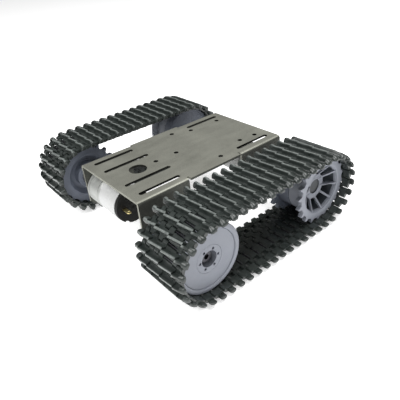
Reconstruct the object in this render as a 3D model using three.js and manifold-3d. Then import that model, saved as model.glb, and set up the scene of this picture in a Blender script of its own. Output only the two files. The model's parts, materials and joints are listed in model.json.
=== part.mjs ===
// A small tracked robot chassis: a bent sheet-metal plate carries two gear motors and two
// free idler wheels; each motor drives one toothed sprocket, and each pair of wheels carries
// one endless track of hinged links.
//
// Millimetres, +X forward, +Y left, +Z up, origin on the ground under the middle of the plate.
// The left half (rear sprocket, front idler, track) is built once. The right half is the same
// half turned by 180 degrees about Z, which puts its sprocket at the front.

import * as THREE from "three";
import { mergeVertices } from "three/addons/utils/BufferGeometryUtils.js";
import Module from "manifold-3d";

const wasm = await Module();
wasm.setup();

// ---------------------------------------------------------------- driving dimensions

const WHEELBASE = 96;
const TEETH = 20;
const LINKS = 47;

const GAP = 0.3; // air between two pieces that touch in the real object
const FLATNESS = 0.002; // neighbouring faces this close to one plane are stored as one
const DEG = Math.PI / 180;

// Track: heights are measured outwards from the line through the hinge pins.
const PITCH = (2 * WHEELBASE) / (LINKS - TEETH);
const PIN_RADIUS = PITCH / (2 * Math.sin(Math.PI / TEETH));
const RUN_PHASE = -4.5 * DEG; // angle from the vertical to the first pin on a wheel
const TRACK = {
  plateInner: 51.5,
  plateOuter: 86.5,
  barInner: 48,
  shoulder: 84,
  barOuter: 89.5,
  plateTop: 0.75,
  plateFoot: -0.45,
  tip: 3.9,
  barFoot: 1.9,
  barCrest: 0.9,
  endFoot: 0.2,
  endHalf: 2.1,
  endCrest: 1.3,
  endTip: 2.6,
};

const AXLE_X = WHEELBASE / 2;
const AXLE_Z = PIN_RADIUS * Math.cos(RUN_PHASE) + TRACK.tip;

const PLATE = {
  length: 120,
  width: 70,
  sheet: 1.5,
  top: 46.85,
  tabStart: 22.4,
  tabEnd: 60,
  tabFoot: AXLE_Z - 12.5,
  tabCorner: 4,
  reliefWidth: 1.4,
  reliefDepth: 3,
};
const SLOT_WIDTH = 3.2;
const SLOTS = [
  { x: [23.8, 54], y: 27.2 },
  { x: [20.5, 54.6], y: 12.8 },
  { x: [-54.6, -25.5], y: 27.2 },
];
const CABLE_HOLE = { x: 37, radius: 6 };
const SMALL_HOLE_RADIUS = 1.65;
const SMALL_HOLES = [
  [22.8, 0],
  [5.8, 0],
  [-10.7, 27],
  [-10.7, -27],
  [-24.5, -21.4],
  [-36.2, 19],
  [-49.4, 20.3],
  [-49.4, -20.3],
];

// Wheels: y is measured from the middle of the chassis to the outside.
const WHEEL = { inner: 55.3, outer: 81.4, split: 68.25, flange: 2.8, barrel: 17.2, wall: 1 };
const SPROCKET = {
  root: 20.8,
  tip: 23.4,
  spokes: 12,
  spokeWidth: 1.3,
  windowInner: 9.2,
  windowOuter: 16,
  webFace: 80.9,
  webBack: 78.9,
  pocket: 5,
  pocketFloor: 76.6,
  boss: 9.4,
  bossFace: 53.2,
};
const IDLER = { rim: 21.7, face: 18.45, recess: 0.7, seat: 5.3, hub: 7 };

const MOTOR = { radius: 12.5, screwSpacing: 17, mountFace: PLATE.width / 2 - PLATE.sheet };
const LABEL = { start: 16.6, end: 36 };
const CAP = { floor: 37.4, end: 39 };
const TERMINAL = {
  x: 6.4,
  halfWidth: 1.4,
  halfSheet: 0.25,
  start: 35.2,
  end: 45.6,
  eye: 43.7,
  eyeRadius: 0.75,
};
const COUPLING = { radius: 6, inner: 37, outer: 63 };
const OUTPUT_SHAFT_RADIUS = 2;
const AXLE_BOLT = { radius: 2, head: 3.5, headFace: 78.2, headHeight: 4, end: 26 };
const BEARING = { outer: 5, width: 4 };
const STAGE = { distance: 5.6, pinion: 1.45, gear: 3.85 };

// ---------------------------------------------------------------- materials

const steel = material(0xb9bbbd, 0.35, 0.9);
const brass = material(0xb48a3c, 0.35, 0.9);
const sandedMetal = material(0x85857c, 0.55, 0.7);
const silver = material(0xc4c4c0, 0.4, 0.8);
const wheelPlastic = material(0x9ca2ad, 0.5, 0);
const blackPlastic = material(0x1b1c1c, 0.45, 0);
const labelPaper = material(0xf2f2ee, 0.5, 0);
const copper = material(0x9a5a34, 0.4, 0.8);

function material(color, roughness, metalness) {
  return new THREE.MeshStandardMaterial({ color, roughness, metalness });
}

// ---------------------------------------------------------------- solids

/** Turns a closed three.js geometry into a solid with its faces pointing out. */
function solid(geometry) {
  const bare = geometry.clone();
  bare.deleteAttribute("normal");
  bare.deleteAttribute("uv");
  const merged = mergeVertices(bare, 1e-4);
  const position = merged.attributes.position.array;
  const index = merged.index.array;
  const triVerts = [];
  for (let i = 0; i < index.length; i += 3) {
    const [a, b, c] = index.slice(i, i + 3);
    if (a !== b && b !== c && c !== a) triVerts.push(a, b, c);
  }
  if (signedVolume(position, triVerts) < 0) triVerts.reverse();
  return new wasm.Manifold(
    new wasm.Mesh({
      numProp: 3,
      vertProperties: position,
      triVerts: new Uint32Array(triVerts),
    }),
  );
}

function signedVolume(position, triVerts) {
  const corner = (i) => new THREE.Vector3().fromArray(position, 3 * i);
  let volume = 0;
  for (let i = 0; i < triVerts.length; i += 3) {
    const [a, b, c] = triVerts.slice(i, i + 3).map(corner);
    volume += a.dot(b.cross(c)) / 6;
  }
  return volume;
}

/** A solid of revolution about the Y axis, from a closed outline of [radius, y] points. */
function turned(outline, segments) {
  const points = [...outline, outline[0]].map(([r, y]) => new THREE.Vector2(r, y));
  return solid(new THREE.LatheGeometry(points, segments));
}

/** A plain cylinder or tube along Y. */
function cylinder(radius, y0, y1, segments, bore = 0) {
  const outline = [
    [bore, y0],
    [radius, y0],
    [radius, y1],
    [bore, y1],
  ];
  return turned(outline, segments);
}

/** An outline in the X-Z plane, drawn as [x, z] points, extruded from y0 to y1. */
function slab(outline, y0, y1) {
  const shape = new THREE.Shape(outline.map(([x, z]) => new THREE.Vector2(x, z)));
  const geometry = new THREE.ExtrudeGeometry(shape, { depth: y1 - y0, bevelEnabled: false });
  geometry.rotateX(Math.PI / 2);
  geometry.translate(0, y1, 0);
  return solid(geometry);
}

/** An outline in the X-Y plane extruded from z0 to z1. */
function sheet(shape, z0, z1, curveSegments = 3) {
  const settings = { depth: z1 - z0, bevelEnabled: false, curveSegments };
  const geometry = new THREE.ExtrudeGeometry(shape, settings);
  geometry.translate(0, 0, z0);
  return solid(geometry);
}

function box(x, y, z) {
  const size = [x, y, z].map(([low, high]) => high - low);
  const middle = [x, y, z].map(([low, high]) => (low + high) / 2);
  return solid(new THREE.BoxGeometry(...size).translate(...middle));
}

function join(parts) {
  return parts.reduce((whole, part) => whole.add(part));
}

function cut(body, tools) {
  return tools.reduce((rest, tool) => rest.subtract(tool), body);
}

/** A point at a radius and an angle in the X-Z plane. */
function polar(radius, angle) {
  return [radius * Math.cos(angle), radius * Math.sin(angle)];
}

/** A named mesh of a solid, placed at x, y, z. */
function piece(name, body, look, x = 0, z = 0, y = 0) {
  const { vertProperties, triVerts, numProp } = body.asOriginal().simplify(FLATNESS).getMesh();
  const geometry = new THREE.BufferGeometry();
  const positions = new THREE.InterleavedBuffer(vertProperties, numProp);
  geometry.setAttribute("position", new THREE.InterleavedBufferAttribute(positions, 3, 0));
  geometry.setIndex(new THREE.BufferAttribute(triVerts, 1));
  const plain = geometry.toNonIndexed();
  plain.computeVertexNormals();
  const mesh = new THREE.Mesh(plain, look);
  mesh.name = name;
  mesh.position.set(x, y, z);
  return mesh;
}

// ---------------------------------------------------------------- chassis plate

function slotShape(x0, x1, y) {
  const r = SLOT_WIDTH / 2;
  const shape = new THREE.Shape();
  shape.absarc(x1 - r, y, r, -Math.PI / 2, Math.PI / 2);
  shape.absarc(x0 + r, y, r, Math.PI / 2, Math.PI * 1.5);
  return shape;
}

function roundShape(x, y, radius) {
  return new THREE.Shape().absarc(x, y, radius, 0, 2 * Math.PI);
}

/** One tab with its bend, on the side of the plate given by sign, running from x0 to x1. */
function tab(x0, x1, sign) {
  const { sheet: t, top, tabFoot, tabCorner: c } = PLATE;
  const face = PLATE.width / 2;
  const bendZ = top - t;
  const outline = [
    [x0, bendZ],
    [x0, tabFoot + c],
    [x0 + c, tabFoot],
    [x1 - c, tabFoot],
    [x1, tabFoot + c],
    [x1, bendZ],
  ];
  const y = sign > 0 ? [face - t, face] : [-face, t - face];
  const bend = cylinder(t, x0, x1, 12)
    .rotate([0, 0, -90])
    .translate([0, sign * (face - t), bendZ]);
  return join([slab(outline, ...y), bend]);
}

function chassisPlate() {
  const { length, width, sheet: t, top, tabStart, tabEnd, reliefWidth, reliefDepth } = PLATE;
  const half = width / 2;
  const bendZ = top - t;
  const deck = box([-length / 2, length / 2], [t - half, half - t], [bendZ, top]);
  const freeEdge = box([-tabStart, tabStart], [-half, half], [bendZ, top]);
  const tabs = [1, -1].flatMap((s) => [tab(tabStart, tabEnd, s), tab(-tabEnd, -tabStart, s)]);

  const through = [bendZ - 1, top + 1];
  const reliefs = [1, -1].flatMap((sx) =>
    [1, -1].map((sy) => {
      const x = [sx * tabStart, sx * (tabStart - reliefWidth)].sort((a, b) => a - b);
      const y = [sy * (half - reliefDepth), sy * (half + 1)].sort((a, b) => a - b);
      return box(x, y, through);
    }),
  );
  const slots = SLOTS.flatMap(({ x, y }) =>
    [y, -y].map((side) => sheet(slotShape(...x, side), ...through)),
  );
  const holes = SMALL_HOLES.map(([x, y]) =>
    sheet(roundShape(x, y, SMALL_HOLE_RADIUS), ...through, 4),
  );
  const cableHole = sheet(roundShape(CABLE_HOLE.x, 0, CABLE_HOLE.radius), ...through, 10);
  const tools = [...reliefs, ...slots, ...holes, cableHole, ...tabHoles(1), ...tabHoles(-1)];
  return cut(join([deck, freeEdge, ...tabs]), tools);
}

/** The holes through the tabs of one side: a motor face's at its sprocket, a bolt's at its idler. */
function tabHoles(side) {
  const outside = PLATE.width / 2;
  const wall = [outside - PLATE.sheet - 1, outside + 1];
  const drill = (x, radius, segments) =>
    cylinder(radius, ...wall, segments)
      .translate([x, 0, AXLE_Z])
      .rotate([0, 0, side > 0 ? 0 : 180]);
  const screws = [-AXLE_X, AXLE_X].flatMap((x) =>
    [1, -1].map((s) => drill(x + (s * MOTOR.screwSpacing) / 2, 1.75, 8)),
  );
  return [...screws, drill(-AXLE_X, 3.9, 16), drill(AXLE_X, AXLE_BOLT.radius + 0.25, 10)];
}

// ---------------------------------------------------------------- track

/** The hinge pins of one track, in order, as [x, z] from the middle of the wheelbase. */
function trackPins() {
  const step = (2 * Math.PI) / TEETH;
  const perWheel = TEETH / 2;
  const pins = [];
  const arc = (centre, first) => {
    for (let i = 0; i <= perWheel; i += 1) {
      const [x, z] = polar(PIN_RADIUS, first + i * step);
      pins.push([centre + x, z]);
    }
  };
  const run = (count, direction) => {
    const [x, z] = pins.at(-1);
    for (let i = 1; i < count; i += 1) pins.push([x + direction * i * PITCH, z]);
  };
  arc(-AXLE_X, Math.PI / 2 + RUN_PHASE);
  run((LINKS - TEETH + 1) / 2, 1);
  arc(AXLE_X, -Math.PI / 2 - RUN_PHASE);
  run((LINKS - TEETH - 1) / 2, -1);
  return pins;
}

/** The frame of each link: the middle of its chord, its direction and its outward normal. */
function linkFrames(pins) {
  return pins.map((pin, i) => {
    const a = new THREE.Vector2(...pin);
    const b = new THREE.Vector2(...pins[(i + 1) % pins.length]);
    const along = b.clone().sub(a).normalize();
    const out = new THREE.Vector2(along.y, -along.x);
    return { middle: a.add(b).multiplyScalar(0.5), along, out };
  });
}

/** A point of a link, t along its chord and h out from it. */
function linkPoint({ middle, along, out }, t, h) {
  const p = middle.clone().addScaledVector(along, t).addScaledVector(out, h);
  return [p.x, p.y];
}

/** The closed loop at a height h from the pin line, with one corner at each pin. */
function loopOutline(frames, h) {
  return frames.map((frame, i) => {
    const next = frames[(i + 1) % frames.length];
    const bisector = frame.out.clone().add(next.out).normalize();
    const reach = h / bisector.dot(frame.out);
    const pin = new THREE.Vector2(...linkPoint(frame, PITCH / 2, 0));
    return pin.addScaledVector(bisector, reach).toArray();
  });
}

/** The transverse bar of one link: a ridge over the belt, with a wider block at each end. */
function linkBar(frame) {
  const { barFoot, barCrest, tip, endFoot, endHalf, endCrest, endTip } = TRACK;
  const across = (foot, low, crest, high, y0, y1) => {
    const corners = [[foot, low], [crest, high], [-crest, high], [-foot, low]];
    return slab(corners.map(([t, h]) => linkPoint(frame, t, h)), y0, y1);
  };
  return [
    across(barFoot, 0, barCrest, tip, TRACK.plateInner, TRACK.shoulder),
    across(endHalf, endFoot, endCrest, tip, TRACK.barInner, TRACK.plateInner),
    across(endHalf, endFoot, endCrest, endTip, TRACK.shoulder, TRACK.barOuter),
  ];
}

function track() {
  const frames = linkFrames(trackPins());
  const { plateInner, plateOuter, plateTop, plateFoot } = TRACK;
  const outside = slab(loopOutline(frames, plateTop), plateInner, plateOuter);
  const inside = slab(loopOutline(frames, plateFoot), plateInner - 1, plateOuter + 1);
  const belt = outside.subtract(inside);
  return cut(join([belt, ...frames.flatMap(linkBar)]), toothGrooves());
}

/** The two grooves in which the sprocket's teeth turn inside the track, with a corner at each pin. */
function toothGrooves() {
  const { inner, outer, flange } = WHEEL;
  const step = (2 * Math.PI) / TEETH;
  const reach = (SPROCKET.tip + GAP) / Math.cos(step / 2);
  const outline = Array.from({ length: TEETH }, (_, i) => {
    const [x, z] = polar(reach, Math.PI / 2 + RUN_PHASE + i * step);
    return [x - AXLE_X, z];
  });
  return [
    slab(outline, inner - GAP, inner + flange + GAP),
    slab(outline, outer - flange - GAP, outer + GAP),
  ];
}

// ---------------------------------------------------------------- sprocket

/** Twenty pointed teeth standing on the rim, between two planes. */
function teeth(y0, y1) {
  const step = (2 * Math.PI) / TEETH;
  const first = Math.PI / 2 + RUN_PHASE + step / 2;
  return Array.from({ length: TEETH }, (_, i) => {
    const angle = first + i * step;
    const outline = [
      polar(SPROCKET.root - 1, angle - 0.3 * step),
      polar(SPROCKET.root, angle - 0.3 * step),
      polar(SPROCKET.tip, angle),
      polar(SPROCKET.root, angle + 0.3 * step),
      polar(SPROCKET.root - 1, angle + 0.3 * step),
    ];
    return slab(outline, y0, y1);
  });
}

function spokeWindows() {
  const step = (2 * Math.PI) / SPROCKET.spokes;
  const { windowInner, windowOuter, spokeWidth } = SPROCKET;
  return Array.from({ length: SPROCKET.spokes }, (_, i) => {
    const half = (r) => step / 2 - spokeWidth / 2 / r;
    const middle = (i + 0.5) * step;
    const outline = [
      polar(windowInner, middle - half(windowInner)),
      polar(windowOuter, middle - half(windowOuter)),
      polar(windowOuter, middle + half(windowOuter)),
      polar(windowInner, middle + half(windowInner)),
    ];
    return slab(outline, SPROCKET.webBack - 1, SPROCKET.webFace + 1);
  });
}

function sprocketOuterHalf() {
  const { root, webFace, webBack, pocket, pocketFloor } = SPROCKET;
  const { outer, flange, barrel, wall, split } = WHEEL;
  const inside = barrel - wall;
  const outline = [
    [2.3, 72],
    [7, 72],
    [7, webBack],
    [inside, webBack],
    [inside, split + GAP / 2],
    [barrel, split + GAP / 2],
    [barrel, outer - flange],
    [root, outer - flange],
    [root, outer],
    [barrel, outer],
    [inside, webFace],
    [pocket, webFace],
    [pocket, pocketFloor],
    [2.3, pocketFloor],
  ];
  const wheel = cut(turned(outline, TEETH), spokeWindows());
  return join([wheel, ...teeth(outer - flange, outer)]);
}

function sprocketInnerHalf() {
  const { root, boss, bossFace } = SPROCKET;
  const { inner, flange, barrel, wall, split } = WHEEL;
  const bore = COUPLING.radius + GAP;
  const outline = [
    [bore, bossFace],
    [boss, bossFace],
    [boss, inner + 4.4],
    [12, inner + 4.4],
    [15.5, inner],
    [root, inner],
    [root, inner + flange],
    [barrel, inner + flange],
    [barrel, split - GAP / 2],
    [barrel - wall, split - GAP / 2],
    [barrel - wall, inner + 3],
    [12.6, inner + 6.4],
    [boss, inner + 6.4],
    [bore, 66],
  ];
  return join([turned(outline, TEETH), ...teeth(inner, inner + flange)]);
}

function coupling() {
  const bore = OUTPUT_SHAFT_RADIUS + GAP;
  const outline = [
    [bore, COUPLING.inner],
    [COUPLING.radius, COUPLING.inner],
    [COUPLING.radius, COUPLING.outer],
    [2, COUPLING.outer],
    [2, 54],
    [bore, 54],
  ];
  const setScrewHole = cylinder(1.6, 0, 8, 8).rotate([90, 0, 0]).translate([0, 45, 0]);
  return turned(outline, 16).subtract(setScrewHole);
}

/** A socket set screw lying along Z above the shaft. */
function setScrew() {
  return cylinder(1.3, 2.4, 5.6, 8).rotate([90, 0, 0]).translate([0, 45, 0]);
}

/** The screw that holds the sprocket on the end of its coupling. */
function sprocketScrew() {
  const outline = [
    [0, 56],
    [1.7, 56],
    [1.7, SPROCKET.pocketFloor + GAP],
    [3.6, SPROCKET.pocketFloor + GAP],
    [3.2, SPROCKET.pocketFloor + 1.6],
    [0, SPROCKET.pocketFloor + 1.9],
  ];
  return turned(outline, 12);
}

// ---------------------------------------------------------------- idler

function idlerOuterHalf() {
  const { rim, face, recess, seat, hub } = IDLER;
  const { outer, flange, barrel, wall, split } = WHEEL;
  const outline = [
    [3.2, split + GAP / 2],
    [hub, split + GAP / 2],
    [hub, outer - 2.4],
    [barrel - wall, outer - 2.4],
    [barrel - wall, split + GAP / 2],
    [barrel, split + GAP / 2],
    [barrel, outer - flange],
    [rim, outer - flange],
    [rim, outer - 0.7],
    [rim - 0.8, outer],
    [face + 0.2, outer],
    [face, outer - recess],
    [seat, outer - recess],
    [seat, split + 1.4],
    [3.2, split + 1.4],
  ];
  return turned(outline, 20);
}

function idlerInnerHalf() {
  const { rim, seat, hub } = IDLER;
  const { inner, flange, barrel, wall, split } = WHEEL;
  const outline = [
    [3.2, split - GAP / 2],
    [hub, split - GAP / 2],
    [hub, inner + 2.4],
    [barrel - wall, inner + 2.4],
    [barrel - wall, split - GAP / 2],
    [barrel, split - GAP / 2],
    [barrel, inner + flange],
    [rim, inner + flange],
    [rim, inner],
    [seat, inner],
    [seat, inner + BEARING.width + 1.4],
    [3.2, inner + BEARING.width + 1.4],
  ];
  return turned(outline, 20);
}

function bearing(y0) {
  return cylinder(BEARING.outer, y0, y0 + BEARING.width, 16, AXLE_BOLT.radius + 0.25);
}

function axleBolt() {
  const { radius, head, headFace, headHeight, end } = AXLE_BOLT;
  const outline = [
    [0, end],
    [radius, end],
    [radius, headFace - headHeight],
    [head, headFace - headHeight],
    [head, headFace],
    [0, headFace],
  ];
  const socket = cylinder(1.7, headFace - 2.4, headFace + 1, 6);
  return turned(outline, 12).subtract(socket);
}

/** A hexagon nut, threaded on the inner end of the axle bolt. */
function axleNut() {
  const corners = Array.from({ length: 6 }, (_, i) => polar(4, i * 60 * DEG));
  const bore = cylinder(AXLE_BOLT.radius + 0.25, inwards(6), inwards(1), 12);
  return slab(corners, inwards(5), inwards(1.6)).subtract(bore);
}

// ---------------------------------------------------------------- gear motor

/** y on the motor's axis, from a distance w inwards of the tab's inner face. */
function inwards(w) {
  return MOTOR.mountFace - w;
}

function motorTurned(outline, segments) {
  return turned(
    outline.map(([r, w]) => [r, inwards(w)]),
    segments,
  );
}

function gearboxPlate() {
  const outline = [
    [2.4, -1.9],
    [3.5, -1.9],
    [3.5, GAP],
    [MOTOR.radius, GAP],
    [MOTOR.radius, 2.3],
    [2.4, 2.3],
  ];
  const holes = [1, -1].map((s) =>
    cylinder(1.6, inwards(3), inwards(0), 8).translate([(s * MOTOR.screwSpacing) / 2, 0, 0]),
  );
  return cut(motorTurned(outline, 16), holes);
}

function gearboxHousing() {
  return cylinder(MOTOR.radius, inwards(13.1), inwards(2.6), 16, 11);
}

function motorCan() {
  const outline = [
    [1.5, 13.4],
    [MOTOR.radius, 13.4],
    [MOTOR.radius, LABEL.start - GAP],
    [11.9, LABEL.start - GAP],
    [11.9, LABEL.end],
    [10.9, LABEL.end],
    [10.9, 14.9],
    [1.5, 14.9],
  ];
  return motorTurned(outline, 16);
}

function motorLabel() {
  return cylinder(MOTOR.radius, inwards(LABEL.end), inwards(LABEL.start), 16, 12.2);
}

/** The black cap over the rear of the motor, with two slots for its terminals and a key notch. */
function rearCap() {
  const { end, floor } = CAP;
  const outline = [
    [0, end],
    [11.6, end],
    [12.3, end - 0.6],
    [12.3, LABEL.end + GAP],
    [10.9, LABEL.end + GAP],
    [10.9, floor],
    [0, floor],
  ];
  const slots = [1, -1].map((s) =>
    box(around(s * TERMINAL.x, 1.9), [inwards(end + 1), inwards(floor - 0.4)], [-0.7, 0.7]),
  );
  const notch = box([-1.2, 1.2], [inwards(end + 1), inwards(floor + 0.2)], [-13, -10.2]);
  return cut(motorTurned(outline, 24), [...slots, notch.rotate([0, 30, 0])]);
}

function around(middle, half) {
  return [middle - half, middle + half];
}

/** A brass solder tag with an eye, on one side of the shaft or the other. */
function terminal(side) {
  const { x, halfWidth, halfSheet, start, end, eye, eyeRadius } = TERMINAL;
  const middle = side * x;
  const thick = [-halfSheet, halfSheet];
  const tag = box(around(middle, halfWidth), [inwards(end), inwards(start)], thick);
  const hole = cylinder(eyeRadius, -1, 1, 8).rotate([90, 0, 0]).translate([middle, inwards(eye), 0]);
  return tag.subtract(hole);
}

function mountScrew() {
  const outline = [
    [0, -3.4],
    [2.4, -3],
    [2.75, -1.8],
    [1.3, -1.8],
    [1.3, 2.2],
    [0, 2.2],
  ];
  return motorTurned(outline, 10);
}

/** The output shaft, with a flat along its outer end. */
function outputShaft() {
  const shaft = cylinder(OUTPUT_SHAFT_RADIUS, inwards(7.8), inwards(-17.5), 12);
  const flat = box([-3, 3], [inwards(-6), inwards(-18)], [1.5, 3]);
  return shaft.subtract(flat);
}

function outputGear() {
  return cylinder(STAGE.gear, inwards(7.4), inwards(4.2), 16, OUTPUT_SHAFT_RADIUS + GAP);
}

/** The intermediate gear: its wheel meets the rotor's pinion, its pinion meets the output gear. */
function compoundGear() {
  const outline = [
    [0, 2.6],
    [0.9, 2.6],
    [0.9, 4],
    [STAGE.pinion, 4],
    [STAGE.pinion, 8.6],
    [STAGE.gear, 8.6],
    [STAGE.gear, 12],
    [0.9, 12],
    [0.9, 13.1],
    [0, 13.1],
  ];
  return motorTurned(outline, 12);
}

/** The rotor: pinion, shaft, wound armature and commutator in one piece. */
function rotor() {
  const outline = [
    [0, 8.2],
    [STAGE.pinion, 8.2],
    [STAGE.pinion, 12.2],
    [1, 12.2],
    [1, 17],
    [8.6, 17],
    [8.6, 31.5],
    [3, 31.5],
    [3, 35.4],
    [1, 35.4],
    [1, 37],
    [0, 37],
  ];
  return motorTurned(outline, 12);
}

// ---------------------------------------------------------------- assembly

function sprocketAssembly(side) {
  const at = (name, body, look) => piece(`${name}_${side}`, body, look, -AXLE_X, AXLE_Z);
  return [
    at("sprocket_outer_half", sprocketOuterHalf(), wheelPlastic),
    at("sprocket_inner_half", sprocketInnerHalf(), wheelPlastic),
    at("drive_coupling", coupling(), silver),
    at("coupling_set_screw", setScrew(), steel),
    at("sprocket_screw", sprocketScrew(), steel),
  ];
}

function motorAssembly(side) {
  const at = (name, body, look, dx = 0, dz = 0) =>
    piece(`${name}_${side}`, body, look, dx - AXLE_X, AXLE_Z + dz);
  const screwX = MOTOR.screwSpacing / 2;
  return [
    at("gearbox_plate", gearboxPlate(), silver),
    at("gearbox_housing", gearboxHousing(), silver),
    at("motor_can", motorCan(), silver),
    at("motor_label", motorLabel(), labelPaper),
    at("motor_rear_cap", rearCap(), blackPlastic),
    at("motor_terminal_a", terminal(1), brass),
    at("motor_terminal_b", terminal(-1), brass),
    at("motor_screw_a", mountScrew(), steel, screwX),
    at("motor_screw_b", mountScrew(), steel, -screwX),
    at("output_shaft", outputShaft(), steel),
    at("output_gear", outputGear(), brass),
    at("compound_gear", compoundGear(), brass, 0, -STAGE.distance),
    at("motor_rotor", rotor(), copper),
  ];
}

function idlerAssembly(side) {
  const at = (name, body, look) => piece(`${name}_${side}`, body, look, AXLE_X, AXLE_Z);
  const tabFace = PLATE.width / 2;
  const innerSeat = WHEEL.inner + 1.1;
  const bore = AXLE_BOLT.radius + 0.25;
  return [
    at("idler_outer_half", idlerOuterHalf(), wheelPlastic),
    at("idler_inner_half", idlerInnerHalf(), wheelPlastic),
    at("idler_bearing_outer", bearing(WHEEL.split + 1.7), steel),
    at("idler_bearing_inner", bearing(innerSeat), steel),
    at("idler_axle_bolt", axleBolt(), steel),
    at("idler_axle_spacer", cylinder(3.4, tabFace + GAP, innerSeat - GAP, 12, bore), silver),
    at("idler_axle_washer", cylinder(4.5, inwards(1.3), inwards(GAP), 12, bore), steel),
    at("idler_axle_nut", axleNut(), steel),
  ];
}

function chassisHalf(side) {
  const half = new THREE.Group();
  half.add(...sprocketAssembly(side), ...motorAssembly(side), ...idlerAssembly(side));
  half.add(piece(`track_${side}`, track(), blackPlastic, 0, AXLE_Z));
  half.rotation.z = side === "left" ? 0 : Math.PI;
  return half;
}

const chassis = new THREE.Group();
chassis.add(piece("chassis_plate", chassisPlate(), sandedMetal));
chassis.add(chassisHalf("left"), chassisHalf("right"));

export default chassis;
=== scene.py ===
"""The tracked robot chassis, dressed around its CAD frame.

Shapes are worked out in millimetres and stored in metres. The left half is built once, and the
right half is the same half turned by 180 degrees about Z, as in the frame.
"""

import json
import math

import bmesh
import bpy
from mathutils import Matrix, Vector
from mathutils.geometry import tessellate_polygon


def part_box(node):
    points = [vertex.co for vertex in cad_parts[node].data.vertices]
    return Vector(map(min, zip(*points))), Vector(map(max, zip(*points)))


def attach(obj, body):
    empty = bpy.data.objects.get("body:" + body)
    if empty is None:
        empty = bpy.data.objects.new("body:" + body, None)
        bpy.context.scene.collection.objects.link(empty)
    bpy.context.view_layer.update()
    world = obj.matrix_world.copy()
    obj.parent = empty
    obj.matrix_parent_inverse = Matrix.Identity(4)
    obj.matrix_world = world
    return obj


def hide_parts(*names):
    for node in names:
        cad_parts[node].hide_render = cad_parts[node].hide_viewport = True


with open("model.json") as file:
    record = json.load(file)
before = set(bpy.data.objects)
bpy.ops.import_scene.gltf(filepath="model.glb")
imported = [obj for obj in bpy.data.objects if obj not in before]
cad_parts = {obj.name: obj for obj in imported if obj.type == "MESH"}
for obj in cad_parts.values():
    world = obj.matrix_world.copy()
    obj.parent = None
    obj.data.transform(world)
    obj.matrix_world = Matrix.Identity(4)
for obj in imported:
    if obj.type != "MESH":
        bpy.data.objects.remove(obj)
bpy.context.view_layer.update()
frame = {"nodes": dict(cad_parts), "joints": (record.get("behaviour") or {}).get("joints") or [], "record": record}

MM = 0.001

# ---------------------------------------------------------------- places, from the frame


def node_box(node):
    """Lowest and highest corner of a CAD node, in millimetres."""
    low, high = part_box(node)
    return low / MM, high / MM


def axle(joint_name):
    """The middle of a wheel, in millimetres."""
    joint = next(j for j in frame["joints"] if j["name"] == joint_name)
    return Vector(joint["pos_m"]) / MM


SPROCKET_AXLE = axle("drive_spin_left")
IDLER_AXLE = axle("idler_spin_left")
WHEELBASE = IDLER_AXLE.x - SPROCKET_AXLE.x
AXLE_Z = SPROCKET_AXLE.z
TRACK_LOW, TRACK_HIGH = node_box("track_left")
PLATE_LOW, PLATE_HIGH = node_box("chassis_plate")
DISC_LOW, DISC_HIGH = node_box("idler_outer_half_left")
RIM_INNER = node_box("idler_inner_half_left")[0].y
RIM_OUTER = DISC_HIGH.y
SPLIT = DISC_LOW.y
IDLER_RIM = (DISC_HIGH.z - DISC_LOW.z) / 2

# ---------------------------------------------------------------- driving dimensions

TEETH = 20
LINKS = 47
PITCH = 2 * WHEELBASE / (LINKS - TEETH)
PIN_CIRCLE = PITCH / (2 * math.sin(math.pi / TEETH))
RUN_PHASE = math.radians(-4.5)
HINGE = PITCH / 2

# Heights of a link's surfaces, outwards from the line through its two hinges.
LINK_CREST = TRACK_HIGH.z - AXLE_Z - PIN_CIRCLE * math.cos(RUN_PHASE)
LINK_FLOOR = -0.9
RIM_FLOOR = -0.45
END_FOOT = 0.2
LOBE_DROP = 2.5
# Half lengths along the track of the parts of a link that have no knuckle, then radii.
STUB = 1.95
WIDE_STUB = 2.7
KNUCKLE = 1.25
RIM_KNUCKLE = 0.95
PIN_RADIUS = 0.55
PIN_CHAMFER = 0.2
PIN_INSET = 0.2
BELT = (51.5, 86.5)
# Strips of a link across the track: inner edge, outer edge, side of its knuckle, room for a tooth.
STRIPS = (
    (51.5, 54.4, -1, False),
    (54.4, 55.0, 0, False),
    (55.0, 58.4, 1, True),
    (58.4, 59.0, 0, False),
    (59.0, 62.4, -1, False),
    (62.4, 63.0, 0, False),
    (63.0, 66.4, 1, False),
    (66.4, 67.0, 0, False),
    (67.0, 70.6, -1, False),
    (70.6, 73.0, 0, False),
    (73.0, 78.3, 0, False),
    (78.3, 81.7, 1, True),
    (81.7, 82.3, 0, False),
    (82.3, 86.5, -1, False),
)
CREST_STEPS = (51.5, 59.0, 70.6, 81.7)
CREST_LEAN = 0.6

# Wheels: radii from the axle, and places along it.
FLANGE = 2.8
BARREL = 17.2
WALL = 1.0
ROOT = 20.6
TIP = 23.4
SPOKES = 10
SPOKE_WIDTH = 1.3
# Where the first window's middle lies, as a share of the step between spokes.
SPOKE_TURN = 0.75
WINDOW = (8.8, 16.25)
WINDOW_CORNER = 0.5
WEB = (73.4, 75.4)
# How far the spokes rise from the hub to the ring.
WEB_DISH = 5.2
POCKET = 5.0
BOSS = 9.4
INSIDE_START = 59.9
IDLER_FACE = 18.45
IDLER_SEAT = 5.1

# The chassis plate.
SHEET = 1.5
BEND = 2.2
TAB_START = 22.4
TAB_CORNER = 4.0
RELIEF = (1.4, 3.0)
SLOT_WIDTH = 3.2
SLOTS = ((23.8, 54.0, 27.2), (20.5, 54.6, 12.8), (-54.6, -25.5, 27.2))
CABLE_HOLE = (37.0, 0.0, 6.0)
SHAFT_HOLE = 3.9
AXLE_HOLE = 2.25
SCREW_HOLE = 1.75
SMALL_HOLE = 1.65
SMALL_HOLES = (
    (22.8, 0.0),
    (5.8, 0.0),
    (-10.7, 27.0),
    (-10.7, -27.0),
    (-24.5, -21.4),
    (-36.2, 19.0),
    (-49.4, 20.3),
    (-49.4, -20.3),
)

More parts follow.
